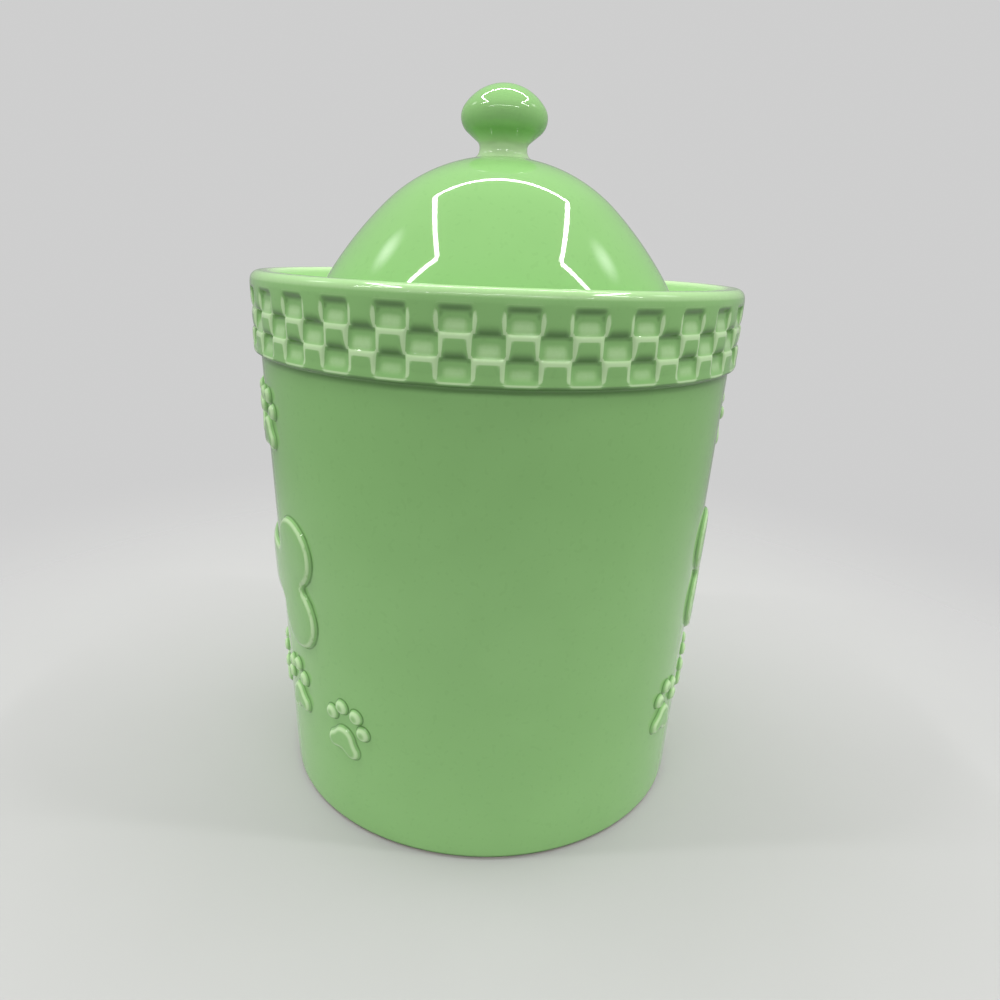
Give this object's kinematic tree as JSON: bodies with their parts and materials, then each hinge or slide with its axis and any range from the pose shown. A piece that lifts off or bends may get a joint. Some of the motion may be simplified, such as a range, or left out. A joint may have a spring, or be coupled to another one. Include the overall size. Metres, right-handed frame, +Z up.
{
  "type": "dog treat canister",
  "caption": "Glazed stoneware treat jar with a chequered rim band, raised bone and paw motifs, and a knobbed dome lid that lifts out of its sunken ledge.",
  "frame": {"origin": "centre of the foot ring, on the surface that the jar stands on", "axes": "+Z up along the axis of the jar and lid; one side with raised motifs faces -Y and the other +Y"},
  "size_m": [0.165, 0.165, 0.2413],
  "materials": {
    "jar_glaze": "gloss",
    "lid_glaze": "gloss",
    "silicone": "matte"
  },
  "bodies": {
    "jar": {"jar": "jar_glaze"},
    "seal": {"lid_seal": "silicone"},
    "lid": {"lid": "lid_glaze"}
  },
  "joints": [
    {"name": "lid_lift", "type": "slide", "parent": "jar", "child": "seal", "axis": [0, 0, 1], "range_m": [0, 0.06]},
    {"name": "lid_turn", "type": "hinge", "parent": "seal", "child": "lid", "pos_m": [0, 0, 0.163], "axis": [0, 0, 1], "continuous": true}
  ]
}
